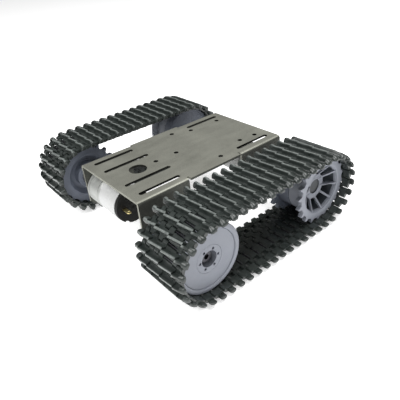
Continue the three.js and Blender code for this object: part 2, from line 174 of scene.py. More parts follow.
# The gear motor: distances from its axis, and angles in degrees.
MOTOR_RADIUS = 12.5
SCREW_OFFSET = 8.5
TERMINAL_X = 6.4
CAP_NOTCH = 240
CAP_NOTCH_HALF = 6
TAB_FACE = PLATE_HIGH.y
TAB_BACK = TAB_FACE - SHEET

# ---------------------------------------------------------------- camera, floor and light

CAMERA_AIM = Vector((0, 0, 32.15))
CAMERA_AZIMUTH = math.radians(142.78)
CAMERA_ELEVATION = math.radians(32.56)
CAMERA_ROLL = math.radians(-5.36)
CAMERA_DISTANCE = 302.91
CAMERA_SLIDE = (-10.66, 22.38)
CAMERA_LENS = 38.54

FLOOR_HALF = 3.0
FLOOR_DROP = 0.0002


def direction(azimuth, elevation):
    """The unit vector from the object towards a viewer. Azimuth 0 is behind -Y and 90 is behind +X."""
    flat = math.cos(elevation)
    return Vector((math.sin(azimuth) * flat, -math.cos(azimuth) * flat, math.sin(elevation)))


def make_camera():
    back = direction(CAMERA_AZIMUTH, CAMERA_ELEVATION)
    right = Vector((0, 0, 1)).cross(back).normalized()
    up = back.cross(right)
    roll = Matrix.Rotation(CAMERA_ROLL, 3, back)
    right, up = roll @ right, roll @ up
    place = CAMERA_AIM - CAMERA_SLIDE[0] * right - CAMERA_SLIDE[1] * up + CAMERA_DISTANCE * back
    lens = bpy.data.cameras.new("camera")
    lens.lens = CAMERA_LENS
    lens.clip_start = 0.01
    camera = bpy.data.objects.new("camera", lens)
    turn = Matrix((right, up, back)).transposed().to_4x4()
    camera.matrix_world = Matrix.Translation(place * MM) @ turn
    bpy.context.scene.collection.objects.link(camera)
    bpy.context.scene.camera = camera


def make_light(name, azimuth, elevation, distance, size, power):
    """A square soft light that faces the middle of the object."""
    lamp = bpy.data.lights.new(name, "AREA")
    lamp.shape = "SQUARE"
    lamp.size = size
    lamp.energy = power
    light = bpy.data.objects.new(name, lamp)
    towards = direction(math.radians(azimuth), math.radians(elevation))
    facing = towards.to_track_quat("Z", "Y").to_matrix().to_4x4()
    light.matrix_world = Matrix.Translation(towards * distance) @ facing
    bpy.context.scene.collection.objects.link(light)


def make_studio():
    scene = bpy.context.scene
    scene.view_settings.view_transform = "Standard"
    world = bpy.data.worlds.new("studio")
    scene.world = world
    world.use_nodes = True
    background = world.node_tree.nodes["Background"]
    background.inputs["Color"].default_value = (1.0, 1.0, 1.0, 1.0)
    background.inputs["Strength"].default_value = 0.26
    make_light("key", 98, 50, 1.1, 0.6, 9.0)
    make_light("fill", 165, 2, 1.3, 0.3, 2.0)
    make_light("top", 236, 70, 1.2, 0.6, 11.5)

    mesh = bpy.data.meshes.new("floor")
    half = FLOOR_HALF
    corners = [(-half, -half, 0), (half, -half, 0), (half, half, 0), (-half, half, 0)]
    mesh.from_pydata(corners, [], [(0, 1, 2, 3)])
    mesh.materials.append(LOOKS["floor"])
    floor = bpy.data.objects.new("floor", mesh)
    floor.location.z = -FLOOR_DROP
    scene.collection.objects.link(floor)


# ---------------------------------------------------------------- materials


def add(tree, kind, **settings):
    """A new node with some of its own settings and input values."""
    node = tree.nodes.new(kind)
    for key, value in settings.items():
        if key in node.inputs:
            node.inputs[key].default_value = value
        else:
            setattr(node, key, value)
    return node


def noise(tree, vector, scale, detail):
    node = add(tree, "ShaderNodeTexNoise", Scale=scale, Detail=detail)
    tree.links.new(vector, node.inputs["Vector"])
    return node.outputs["Fac"]


def ramp(tree, value, stops):
    """A value turned into a colour through (position, colour) stops."""
    node = tree.nodes.new("ShaderNodeValToRGB")
    elements = node.color_ramp.elements
    while len(elements) < len(stops):
        elements.new(0.5)
    for element, (position, colour) in zip(elements, stops):
        element.position = position
        element.color = (*colour, 1.0)
    tree.links.new(value, node.inputs["Fac"])
    return node.outputs["Color"]


def remap(tree, value, low, high, start=0.3, end=0.7):
    node = tree.nodes.new("ShaderNodeMapRange")
    node.inputs["From Min"].default_value = start
    node.inputs["From Max"].default_value = end
    node.inputs["To Min"].default_value = low
    node.inputs["To Max"].default_value = high
    tree.links.new(value, node.inputs["Value"])
    return node.outputs["Result"]


def tinted(tree, share, ground, tint):
    """A linked colour with a share of a plain one."""
    node = add(tree, "ShaderNodeMix", data_type="RGBA")
    tree.links.new(share, node.inputs["Factor"])
    tree.links.new(ground, node.inputs[6])
    node.inputs[7].default_value = (*tint, 1.0)
    return node.outputs[2]


def relief(tree, height, distance):
    """A bump, with its depth in metres."""
    node = add(tree, "ShaderNodeBump", Strength=1.0, Distance=distance)
    tree.links.new(height, node.inputs["Height"])
    return node.outputs["Normal"]


def start_look(name, metallic=0.0, **values):
    """A material with its tree, its shader and its object coordinates."""
    look = bpy.data.materials.new(name)
    look.use_nodes = True
    tree = look.node_tree
    shader = tree.nodes["Principled BSDF"]
    shader.inputs["Metallic"].default_value = metallic
    for key, value in values.items():
        shader.inputs[key.replace("_", " ")].default_value = value
    vector = tree.nodes.new("ShaderNodeTexCoord").outputs["Object"]
    return look, tree, shader, vector


def stretched(tree, vector, scale):
    node = add(tree, "ShaderNodeMapping", Scale=scale)
    tree.links.new(vector, node.inputs["Vector"])
    return node.outputs["Vector"]


def sanded_look(name, dark, light):
    """Bead-blasted, anodised sheet: a fine matt grain with faint clouds and a few rubbed places."""
    look, tree, shader, vector = start_look(name, metallic=0.75)
    clouds = noise(tree, vector, 38.0, 5.0)
    grain = noise(tree, vector, 2600.0, 2.0)
    colour = ramp(tree, clouds, ((0.3, dark), (0.7, light)))
    specks = ramp(tree, grain, ((0.35, (0.8, 0.8, 0.8)), (0.65, (1.15, 1.15, 1.15))))
    mixed = add(tree, "ShaderNodeMix", data_type="RGBA", blend_type="MULTIPLY")
    mixed.inputs["Factor"].default_value = 1.0
    tree.links.new(colour, mixed.inputs[6])
    tree.links.new(specks, mixed.inputs[7])
    tree.links.new(mixed.outputs[2], shader.inputs["Base Color"])
    rubbed = noise(tree, stretched(tree, vector, (1.0, 3.0, 1.0)), 60.0, 4.0)
    tree.links.new(remap(tree, rubbed, 0.5, 0.62), shader.inputs["Roughness"])
    tree.links.new(relief(tree, grain, 0.00006), shader.inputs["Normal"])
    return look


def moulded_look(name, dark, light, roughness, gloss=0.5):
    """Satin injection-moulded plastic with faint flow marks and a fine skin."""
    look, tree, shader, vector = start_look(name, Specular_IOR_Level=gloss)
    flow = noise(tree, stretched(tree, vector, (1.0, 0.4, 1.0)), 70.0, 4.0)
    skin = noise(tree, vector, 1500.0, 2.0)
    tree.links.new(ramp(tree, flow, ((0.3, dark), (0.7, light))), shader.inputs["Base Color"])
    tree.links.new(remap(tree, flow, roughness - 0.05, roughness + 0.06), shader.inputs["Roughness"])
    tree.links.new(relief(tree, skin, 0.00004), shader.inputs["Normal"])
    return look


def link_look():
    """Black moulded nylon, scuffed pale on the crests that meet the ground."""
    look, tree, shader, vector = start_look("track_nylon", Specular_IOR_Level=0.55)
    each = tree.nodes.new("ShaderNodeObjectInfo").outputs["Random"]
    shifted = add(tree, "ShaderNodeVectorMath", operation="ADD")
    tree.links.new(vector, shifted.inputs[0])
    tree.links.new(each, shifted.inputs[1])
    spot = shifted.outputs["Vector"]
    clouds = noise(tree, spot, 240.0, 4.0)
    skin = noise(tree, spot, 2200.0, 2.0)
    black = ramp(tree, clouds, ((0.3, (0.018, 0.023, 0.021)), (0.7, (0.034, 0.041, 0.038))))
    height = tree.nodes.new("ShaderNodeSeparateXYZ")
    tree.links.new(vector, height.inputs["Vector"])
    crest = remap(tree, height.outputs["Z"], 0.0, 1.0, 0.955 * LINK_CREST * MM, LINK_CREST * MM)
    scuff = add(tree, "ShaderNodeMath", operation="MULTIPLY")
    tree.links.new(crest, scuff.inputs[0])
    tree.links.new(remap(tree, noise(tree, spot, 700.0, 5.0), 0.45, 1.0, 0.35, 0.65), scuff.inputs[1])
    worn = tinted(tree, scuff.outputs["Value"], black, (0.19, 0.21, 0.20))
    tree.links.new(worn, shader.inputs["Base Color"])
    tree.links.new(remap(tree, clouds, 0.27, 0.4), shader.inputs["Roughness"])
    tree.links.new(relief(tree, skin, 0.00005), shader.inputs["Normal"])
    return look


def turned_look(name, dark, light, roughness, metallic=1.0):
    """Bare metal with fine turning marks along the axis of a shaft or can."""
    look, tree, shader, vector = start_look(name, metallic=metallic)
    rings = noise(tree, stretched(tree, vector, (0.02, 1.0, 0.02)), 9000.0, 2.0)
    clouds = noise(tree, vector, 120.0, 4.0)
    tree.links.new(ramp(tree, clouds, ((0.3, dark), (0.7, light))), shader.inputs["Base Color"])
    tree.links.new(remap(tree, rings, roughness - 0.08, roughness + 0.1), shader.inputs["Roughness"])
    tree.links.new(relief(tree, rings, 0.00002), shader.inputs["Normal"])
    return look


def label_look():
    """A blank white paper label under a thin clear film."""
    look, tree, shader, vector = start_look("label_paper", Coat_Weight=0.35, Coat_Roughness=0.2)
    fibres = noise(tree, vector, 900.0, 5.0)
    paper = ramp(tree, fibres, ((0.3, (0.47, 0.475, 0.47)), (0.7, (0.56, 0.565, 0.56))))
    tree.links.new(paper, shader.inputs["Base Color"])
    tree.links.new(remap(tree, fibres, 0.4, 0.55), shader.inputs["Roughness"])
    tree.links.new(relief(tree, fibres, 0.00002), shader.inputs["Normal"])
    return look


def wound_look():
    """Enamelled copper winding."""
    look, tree, shader, vector = start_look("winding", metallic=0.9)
    turns = add(tree, "ShaderNodeTexWave", Scale=900.0, Distortion=1.5)
    tree.links.new(vector, turns.inputs["Vector"])
    copper = ((0.0, (0.25, 0.09, 0.03)), (1.0, (0.62, 0.27, 0.12)))
    tree.links.new(ramp(tree, turns.outputs["Fac"], copper), shader.inputs["Base Color"])
    tree.links.new(remap(tree, turns.outputs["Fac"], 0.3, 0.5, 0.0, 1.0), shader.inputs["Roughness"])
    return look


def floor_look():
    """Plain pale studio paper."""
    look, tree, shader, vector = start_look("floor", Roughness=0.85)
    fibres = noise(tree, vector, 3.0, 2.0)
    paper = ramp(tree, fibres, ((0.3, (0.93, 0.93, 0.93)), (0.7, (0.95, 0.95, 0.95))))
    tree.links.new(paper, shader.inputs["Base Color"])
    shader.inputs["Emission Color"].default_value = (1.0, 1.0, 1.0, 1.0)
    shader.inputs["Emission Strength"].default_value = 0.5
    return look


LOOKS = {
    "plate": sanded_look("sanded_metal", (0.250, 0.252, 0.216), (0.318, 0.320, 0.276)),
    # Painted shade: the same sanded sheet, darker, for the upright tab faces that the deck keeps from the light.
    "tab_painted_shade": sanded_look("tab_painted_shade", (0.085, 0.088, 0.076), (0.110, 0.114, 0.100)),
    "wheel_plastic": moulded_look("wheel_plastic", (0.225, 0.240, 0.280), (0.270, 0.285, 0.325), 0.5),
    # Painted shade: the same wheel plastic, darker, for the inner halves that stand in the chassis's shadow.
    "wheel_inner_painted_shade": moulded_look("wheel_inner_painted_shade", (0.110, 0.125, 0.160), (0.135, 0.152, 0.190), 0.52),
    "track_black": link_look(),
    "motor_silver": turned_look("plated_can", (0.36, 0.37, 0.355), (0.45, 0.46, 0.44), 0.42, 0.45),
    "label": label_look(),
    "cap_black": moulded_look("black_nylon", (0.007, 0.007, 0.007), (0.012, 0.012, 0.011), 0.6, 0.2),
    "brass": turned_look("brass", (0.68, 0.56, 0.24), (0.86, 0.74, 0.38), 0.36),
    "rotor": wound_look(),
    "turned_metal": turned_look("turned_metal", (0.44, 0.44, 0.45), (0.58, 0.58, 0.59), 0.3),
    "bearing_steel": turned_look("bearing_steel", (0.5, 0.5, 0.51), (0.66, 0.66, 0.67), 0.22),
    "fastener_steel": turned_look("fastener_steel", (0.42, 0.42, 0.42), (0.60, 0.60, 0.60), 0.28),
    # Painted shade: near-black metal for the walls of the slots and holes, standing in for the shade beneath the
    # deck.
    "cut_wall_painted_shade": turned_look("cut_wall_painted_shade", (0.020, 0.020, 0.018), (0.035, 0.035, 0.032), 0.6),
    # Painted shade: near-black plastic for the faces in the wheel's hollow, standing in for the shade there.
    "wheel_hollow_painted_shade": moulded_look("wheel_hollow_painted_shade", (0.035, 0.042, 0.052), (0.05, 0.06, 0.07), 0.6),
    # Painted shade: the hub's own plastic, darker, for the floor of its pocket where shade falls.
    "hub_pocket_painted_shade": moulded_look("hub_pocket_painted_shade", (0.055, 0.06, 0.065), (0.07, 0.075, 0.08), 0.55),
    "blackened_steel": turned_look("blackened_steel", (0.04, 0.04, 0.045), (0.09, 0.09, 0.1), 0.42),
    "floor": floor_look(),
}

# ---------------------------------------------------------------- mesh tools


def turned(outline, segments=96):
    """A closed solid of revolution about the Y axis, from a closed outline of (radius, y) corners."""
    bm = bmesh.new()
    rings = []
    for i in range(segments):
        angle = 2 * math.pi * i / segments
        spin = Vector((math.cos(angle), 0, math.sin(angle)))
        rings.append([bm.verts.new(spin * r + Vector((0, y, 0))) for r, y in outline])
    for i, ring in enumerate(rings):
        loft(bm, ring, rings[(i + 1) % segments])
    return bm


def loft(bm, ring, following):
    """A band of faces between two closed rings with as many corners."""
    for j, corner in enumerate(ring):
        k = (j + 1) % len(ring)
        bm.faces.new((corner, ring[k], following[k], following[j]))


def prism(loops, low, high):
    """A closed solid between two Y planes, from loops of (x, z) corners: an outline, then its holes."""
    bm = bmesh.new()
    layers = [[[bm.verts.new((x, y, z)) for x, z in loop] for loop in loops] for y in (low, high)]
    for below, above in zip(*layers):
        loft(bm, below, above)
    triangles = tessellate_polygon([[Vector((x, z, 0)) for x, z in loop] for loop in loops])
    for layer in layers:
        corners = [corner for loop in layer for corner in loop]
        for triangle in triangles:
            bm.faces.new([corners[i] for i in triangle])
    return bm


def polar(radius, angle):
    """The two coordinates of a point on a circle."""
    return (radius * math.cos(angle), radius * math.sin(angle))


def circle(radius, count, centre=(0.0, 0.0)):
    corners = [polar(radius, 2 * math.pi * i / count) for i in range(count)]
    return [(centre[0] + x, centre[1] + z) for x, z in corners]


def joined(*solids):
    """Several solids in one mesh."""
    whole = bmesh.new()
    for solid in solids:
        part = bpy.data.meshes.new("part")
        solid.to_mesh(part)
        solid.free()
        whole.from_mesh(part)
        bpy.data.meshes.remove(part)
    return whole


def finished(name, bm, look, chamfer=0.0, crease=40.0, others=()):
    """The mesh of a solid, in metres, with small chamfers on its sharp edges.

    Others are further looks, each with the test of a face, in millimetres, that says where it goes.
    """
    bmesh.ops.remove_doubles(bm, verts=bm.verts, dist=0.002)
    bmesh.ops.recalc_face_normals(bm, faces=bm.faces)
    if chamfer:
        sharp = [e for e in bm.edges if e.is_manifold and e.calc_face_angle() > math.radians(crease)]
        bmesh.ops.bevel(
            bm, geom=sharp, offset=chamfer, segments=1, profile=0.5, affect="EDGES", clamp_overlap=True
        )
    bm.normal_update()
    for index, (_, test) in enumerate(others, 1):
        for face in filter(test, bm.faces):
            face.material_index = index
    bmesh.ops.scale(bm, vec=(MM, MM, MM), verts=bm.verts)
    mesh = bpy.data.meshes.new(name)
    bm.to_mesh(mesh)
    bm.free()
    mesh.shade_smooth()
    mesh.set_sharp_from_angle(angle=math.radians(crease))
    mesh.materials.append(LOOKS[look])
    for other, _ in others:
        mesh.materials.append(LOOKS[other])
    return mesh


# ---------------------------------------------------------------- placing pieces

SIDES = {"left": Matrix.Identity(4), "right": Matrix.Rotation(math.pi, 4, "Z")}
AT_SPROCKET = Matrix.Translation(Vector((SPROCKET_AXLE.x, 0, AXLE_Z)) * MM)
AT_IDLER = Matrix.Translation(Vector((IDLER_AXLE.x, 0, AXLE_Z)) * MM)


def show(name, mesh, body, nodes, place):
    """One piece on each side. {side} in a name stands for left or right."""
    for side, turn in SIDES.items():
        piece = bpy.data.objects.new(name.format(side=side), mesh)
        bpy.context.scene.collection.objects.link(piece)
        piece.matrix_world = turn @ place
        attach(piece, body.format(side=side))
        if nodes:
            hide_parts(*[f"{node}_{side}" for node in nodes])


# ---------------------------------------------------------------- chassis plate

BEND_ARC = BEND * math.pi / 2
BEND_START = TAB_FACE - BEND
BEND_STEPS = 6
TAB_END_FLAT = BEND_START + BEND_ARC + PLATE_HIGH.z - BEND - PLATE_LOW.z


def folded(u, v, depth):
    """A point of the flat blank after bending: u along X, v across, depth in from the outer face."""
    side = math.copysign(1, v)
    past = abs(v) - BEND_START
    if past <= 0 or abs(u) < TAB_START - RELIEF[0] / 2:
        return Vector((u, v, PLATE_HIGH.z - depth))
    if past < BEND_ARC:
        turn = past / BEND
        reach = BEND - depth
        height = PLATE_HIGH.z - BEND + reach * math.cos(turn)
        return Vector((u, side * (BEND_START + reach * math.sin(turn)), height))
    return Vector((u, side * (TAB_FACE - depth), PLATE_HIGH.z - BEND - (past - BEND_ARC)))


def slot_loop(x0, x1, y, count=12):
    """The outline of a slot with round ends, from end to end along X."""
    r = SLOT_WIDTH / 2
    ends = ((x1 - r, -math.pi / 2), (x0 + r, math.pi / 2))
    loop = []
    for x, start in ends:
        for i in range(count + 1):
            dx, dy = polar(r, start + math.pi * i / count)
            loop.append((x + dx, y + dy))
    return loop


def blank_outline():
    """The outline of the flat sheet before its four tabs are bent down."""
    start, end = TAB_START, PLATE_HIGH.x
    width, depth = RELIEF
    quarter = [
        (end, TAB_END_FLAT - TAB_CORNER),
        (end - TAB_CORNER, TAB_END_FLAT),
        (start + TAB_CORNER, TAB_END_FLAT),
        (start, TAB_END_FLAT - TAB_CORNER),
        (start, TAB_FACE - depth),
        (start - width, TAB_FACE - depth),
        (start - width, TAB_FACE),
    ]
    back = [(-x, y) for x, y in reversed(quarter)]
    return quarter + back + [(-x, -y) for x, y in quarter + back]


def plate_loops():
    """The outline of the blank, then its slots and holes."""
    across = BEND_START + BEND_ARC + PLATE_HIGH.z - BEND - AXLE_Z
    loops = [blank_outline()]
    for x0, x1, y in SLOTS:
        loops += [slot_loop(x0, x1, y), slot_loop(x0, x1, -y)]
    loops += [circle(SMALL_HOLE, 24, hole) for hole in SMALL_HOLES]
    loops.append(circle(CABLE_HOLE[2], 48, CABLE_HOLE[:2]))
    for side in (1, -1):
        motor, idler = (side * SPROCKET_AXLE.x, side * across), (side * IDLER_AXLE.x, side * across)
        loops += [circle(SHAFT_HOLE, 32, motor), circle(AXLE_HOLE, 24, idler)]
        for x, y in (motor, idler):
            loops += [circle(SCREW_HOLE, 24, (x + dx, y)) for dx in (SCREW_OFFSET, -SCREW_OFFSET)]
    return loops


def plate_solid():
    """The blank, cut along its bend lines, then folded twice: once for each face of the sheet."""
    loops = plate_loops()
    flat = bmesh.new()
    corners = [flat.verts.new((x, y, 0)) for loop in loops for x, y in loop]
    for triangle in tessellate_polygon([[Vector((x, y, 0)) for x, y in loop] for loop in loops]):
        flat.faces.new([corners[i] for i in triangle])
    for side in (1, -1):
        for i in range(BEND_STEPS + 1):
            line = side * (BEND_START + BEND_ARC * i / BEND_STEPS)
            geometry = flat.verts[:] + flat.edges[:] + flat.faces[:]
            bmesh.ops.bisect_plane(flat, geom=geometry, plane_co=(0, line, 0), plane_no=(0, 1, 0))
    flat.verts.index_update()
    bm = bmesh.new()
    outer, inner = (
        [bm.verts.new(folded(v.co.x, v.co.y, depth)) for v in flat.verts] for depth in (0, SHEET)
    )
    for face in flat.faces:
        ring = [v.index for v in face.verts]
        bm.faces.new([outer[i] for i in ring])
        bm.faces.new([inner[i] for i in reversed(ring)])
    for edge in flat.edges:
        if edge.is_boundary:
            a, b = (v.index for v in edge.verts)
            bm.faces.new((outer[a], outer[b], inner[b], inner[a]))
    flat.free()
    return bm


def is_cut_wall(face):
    """Whether a face is the wall of a slot or a hole through the deck, painted near black for the shade under the
    deck.
    """
    middle = face.calc_center_median()
    inside = abs(middle.x) < PLATE_HIGH.x - 1 and abs(middle.y) < TAB_BACK - RELIEF[1]
    return inside and abs(face.normal.z) < 0.5


def is_tab_face(face):
    """Whether a face is the upright side of a folded tab, painted dark for the shade the deck and track cast on
    it.
    """
    middle = face.calc_center_median()
    upright = abs(face.normal.y) > 0.75
    return upright and abs(middle.y) > TAB_BACK - 0.1 and middle.z < PLATE_HIGH.z - 0.5


def make_plate():
    # Painted shade: slot and hole walls near black, and upright tab faces dark, for the shade they sit in.
    others = (("cut_wall_painted_shade", is_cut_wall), ("tab_painted_shade", is_tab_face))
    mesh = finished("chassis_sheet", plate_solid(), "plate", chamfer=0.18, crease=50, others=others)
    piece = bpy.data.objects.new("chassis_sheet", mesh)
    bpy.context.scene.collection.objects.link(piece)
    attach(piece, "chassis")
    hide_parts("chassis_plate")


# ---------------------------------------------------------------- track


def crest_lean(y, inner_edge):
    """How far the crest leans along the track: it slants across each stretch, then steps back."""
    start = max(s for s in CREST_STEPS if s <= inner_edge)
    later = [s for s in CREST_STEPS if s > start]
    end = later[0] if later else TRACK_HIGH.y
    return CREST_LEAN * (1 - 2 * (y - start) / (end - start))


def crest_height(y):
    """The crest falls away in a quarter ellipse at the outer end of the link."""
    past = max(0.0, y - CREST_STEPS[-1]) / (TRACK_HIGH.y - CREST_STEPS[-1])
    return LINK_CREST - LOBE_DROP * (1 - math.sqrt(max(0.0, 1 - past * past)))


# The ridge of a link, from the side of its foot up to its crest: half width, height above the foot
# as a share of the ridge.
RIDGE_SHAPE = ((1.3, 0.0), (0.95, 0.15), (0.85, 0.55), (0.8, 0.88), (0.62, 0.97), (0.35, 1.0))
RIDGE_FOOT = 0.95


def half_section(knuckled, tooth, bridged):
    """Half of a link's section, from its floor round its hinge side to its crest, as (along, out)."""
    floor = RIM_FLOOR if tooth else LINK_FLOOR
    half = [(0.9, 1.05 if tooth else floor), (1.5, floor)]
    if knuckled:
        radius = RIM_KNUCKLE if tooth else KNUCKLE
        for degrees in range(-108, 109, 36):
            x, z = polar(radius, math.radians(degrees))
            half.append((HINGE + x, z))
        half.append((2.1, 0.9))
    else:
        stub = WIDE_STUB if bridged else STUB
        half += [(stub, -0.4 + 0.16 * i) for i in range(7)]
        half.append((stub - 0.1, 0.72))
    rise = LINK_CREST - RIDGE_FOOT
    return half + [(x, RIDGE_FOOT + rise * share) for x, share in RIDGE_SHAPE]


def strip_ring(y, inner_edge, reach, tooth):
    """One ring of corners across a strip, as (along, across, out)."""
    lean = crest_lean(y, inner_edge)
    squash = (crest_height(y) - RIDGE_FOOT) / (LINK_CREST - RIDGE_FOOT)
    ridge = len(RIDGE_SHAPE)
    ring = []
    for side in (1, -1):
        half = half_section(reach == side, tooth, reach == 0)
        placed = [(side * x, z) for x, z in half[:-ridge]]
        for x, z in half[-ridge:]:
            placed.append((side * x + lean, RIDGE_FOOT + squash * (z - RIDGE_FOOT)))
        ring += placed if side == 1 else placed[::-1]
    return [Vector((x, y, z)) for x, z in ring]


# Widths of the rounded ends of a link, at shares of their height from foot to crest.
KNOB_SHAPE = (
    (0.0, 1.0), (0.0, 1.5), (0.03, 1.7), (0.07, 1.85), (0.13, 1.95), (0.2, 2.0), (0.28, 2.0),
    (0.36, 1.95), (0.44, 1.85), (0.52, 1.75), (0.62, 1.6), (0.72, 1.45), (0.82, 1.3), (0.9, 1.1),
    (0.96, 0.8), (1.0, 0.35),
)
LOBE_SHAPE = (
    (0.0, 0.9), (0.0, 1.4), (0.03, 1.62), (0.07, 1.8), (0.13, 1.95), (0.2, 2.05), (0.28, 2.1),
    (0.36, 2.1), (0.44, 2.07), (0.53, 1.98), (0.63, 1.8), (0.73, 1.6), (0.83, 1.3), (0.91, 1.0),
    (0.97, 0.65), (1.0, 0.25),
)


def end_ring(y, shape, low, high, grow=1.0):
    """One ring of corners across a rounded end of a link, from its foot to its crest."""
    half = [(grow * width, low + (high - low) * share) for share, width in shape]
    ring = half + [(-x, z) for x, z in reversed(half)]
    return [Vector((x, y, z)) for x, z in ring]


def link_solid():
    """One link, lofted across the track from its knob beside the chassis to its rounded outer lobe."""
    bm = bmesh.new()
    inner, outer = TRACK_LOW.y, TRACK_HIGH.y
    rings = [
        end_ring(inner, KNOB_SHAPE, END_FOOT + 0.7, LINK_CREST - 0.7, 0.6),
        end_ring(inner + 0.2, KNOB_SHAPE, END_FOOT + 0.35, LINK_CREST - 0.32, 0.82),
        end_ring(inner + 0.6, KNOB_SHAPE, END_FOOT + 0.1, LINK_CREST - 0.1, 0.95),
        end_ring(inner + 1.3, KNOB_SHAPE, END_FOOT, LINK_CREST),
        end_ring(inner + 2.4, KNOB_SHAPE, END_FOOT, LINK_CREST, 0.92),
        end_ring(BELT[0] - 0.2, KNOB_SHAPE, END_FOOT, LINK_CREST, 0.8),
    ]
    for start, end, reach, tooth in STRIPS:
        rings.append(strip_ring(start, start, reach, tooth))
        rings.append(strip_ring(end, start, reach, tooth))
    for i in range(7):
        y = BELT[1] + (outer - BELT[1]) * math.sin(math.pi / 2 * i / 6)
        grow = 1.0 if i < 4 else 1.0 - 0.15 * (i - 3)
        rings.append(end_ring(y, LOBE_SHAPE, END_FOOT + 0.4 * (i / 6) ** 3, crest_height(y), grow))
    corners = [[bm.verts.new(point) for point in ring] for ring in rings]
    for ring, following in zip(corners, corners[1:]):
        loft(bm, ring, following)
    bm.faces.new(corners[0])
    bm.faces.new(corners[-1])
    return bm


def track_pins():
    """The hinge pins of the left track, as (x, z) from the middle of the wheelbase at axle height."""
    step = 2 * math.pi / TEETH
    pins = []

    def arc(centre, first):
        for i in range(TEETH // 2 + 1):
            x, z = polar(PIN_CIRCLE, first + i * step)
            pins.append(Vector((centre + x, z)))

    def run(count, forward):
        x, z = pins[-1]
        for i in range(1, count):
            pins.append(Vector((x + forward * i * PITCH, z)))

    arc(SPROCKET_AXLE.x, math.pi / 2 + RUN_PHASE)
    run((LINKS - TEETH + 1) // 2, 1)
    arc(IDLER_AXLE.x, -math.pi / 2 - RUN_PHASE)
    run((LINKS - TEETH - 1) // 2, -1)
    return pins


def make_tracks():
    link = finished("track_link", link_solid(), "track_black", crease=42)
    low, high = BELT[0] + PIN_INSET, BELT[1] - PIN_INSET
    r, end = PIN_RADIUS, PIN_CHAMFER
    pin_outline = [
        (0, low), (r - end, low), (r, low + end), (r, high - end), (r - end, high), (0, high),
    ]
    pin = finished("track_pin", turned(pin_outline, 16), "blackened_steel")
    pins = track_pins()
    for i, here in enumerate(pins):
        following = pins[(i + 1) % LINKS]
        along = (here - following).normalized()
        out = Vector((-along.y, along.x))
        middle = (here + following) / 2
        turn = Matrix(((along.x, 0, out.x), (0, 1, 0), (along.y, 0, out.y))).to_4x4()
        place = Matrix.Translation(Vector((middle.x, 0, AXLE_Z + middle.y)) * MM) @ turn
        show(f"track_link_{i + 1:02d}_{{side}}", link, "chassis", ["track"], place)
        place = Matrix.Translation(Vector((here.x, 0, AXLE_Z + here.y)) * MM)
        show(f"track_pin_{i + 1:02d}_{{side}}", pin, "chassis", ["track"], place)


# ---------------------------------------------------------------- sprocket

# A tooth of the sprocket, from its tip to the middle of the gullet: share of a pitch, height.
TOOTH_SHAPE = ((0.05, 1.0), (0.1, 0.8), (0.16, 0.45), (0.22, 0.15), (0.28, 0.02), (0.4, 0.0))


def toothed_outline():
    """Twenty pointed teeth with wide gullets in which the hinges sit."""
    step = 2 * math.pi / TEETH
    first_tip = math.pi / 2 + RUN_PHASE + step / 2
    sides = [(-share, height) for share, height in reversed(TOOTH_SHAPE)] + list(TOOTH_SHAPE)
    outline = []
    for tooth in range(TEETH):
        for share, height in sides:
            radius = ROOT + (TIP - ROOT) * height
            outline.append(polar(radius, first_tip + (tooth + share) * step))
    return outline


def spoke_windows():
    """The outlines of the windows between the spokes, which are equally wide all along."""
    step = 2 * math.pi / SPOKES
    windows = []
    for k in range(SPOKES):
        middle = (k + SPOKE_TURN) * step
        corner = []
        for radius, sign in ((WINDOW[0], -1), (WINDOW[1], -1), (WINDOW[1], 1), (WINDOW[0], 1)):
            half = step / 2 - SPOKE_WIDTH / 2 / radius
            corner.append((radius, middle + sign * half))
        windows.append(rounded(corner, WINDOW_CORNER))
    return windows


def rounded(corners, radius, count=3):
    """A polygon of (radius, angle) corners as (x, z) points, with each corner cut round."""
    points = [Vector(polar(*corner)) for corner in corners]
    loop = []
    for i, here in enumerate(points):
        before = (points[i - 1] - here).normalized() * radius
        after = (points[(i + 1) % len(points)] - here).normalized() * radius
        for k in range(count + 1):
            t = k / count
            loop.append(tuple(here + before * (1 - t) ** 2 + after * t * t))
    return loop


def is_shaded_wheel_hollow(face):
    """Whether a face lies in the hollow of the wheel, behind its spokes, where it is painted near black for shade.
    """
    middle = face.calc_center_median()
    reach = math.hypot(middle.x, middle.z)
    return reach < BARREL - WALL / 2 and INSIDE_START < middle.y < WEB[0] + WEB_DISH / 2


def is_shaded_pocket_floor(face):
    """Whether a face is the floor of the pocket in the hub, painted dark for the shade in the pocket."""
    middle = face.calc_center_median()
    return math.hypot(middle.x, middle.z) < POCKET - 0.05 and middle.y > WEB[1] - 1


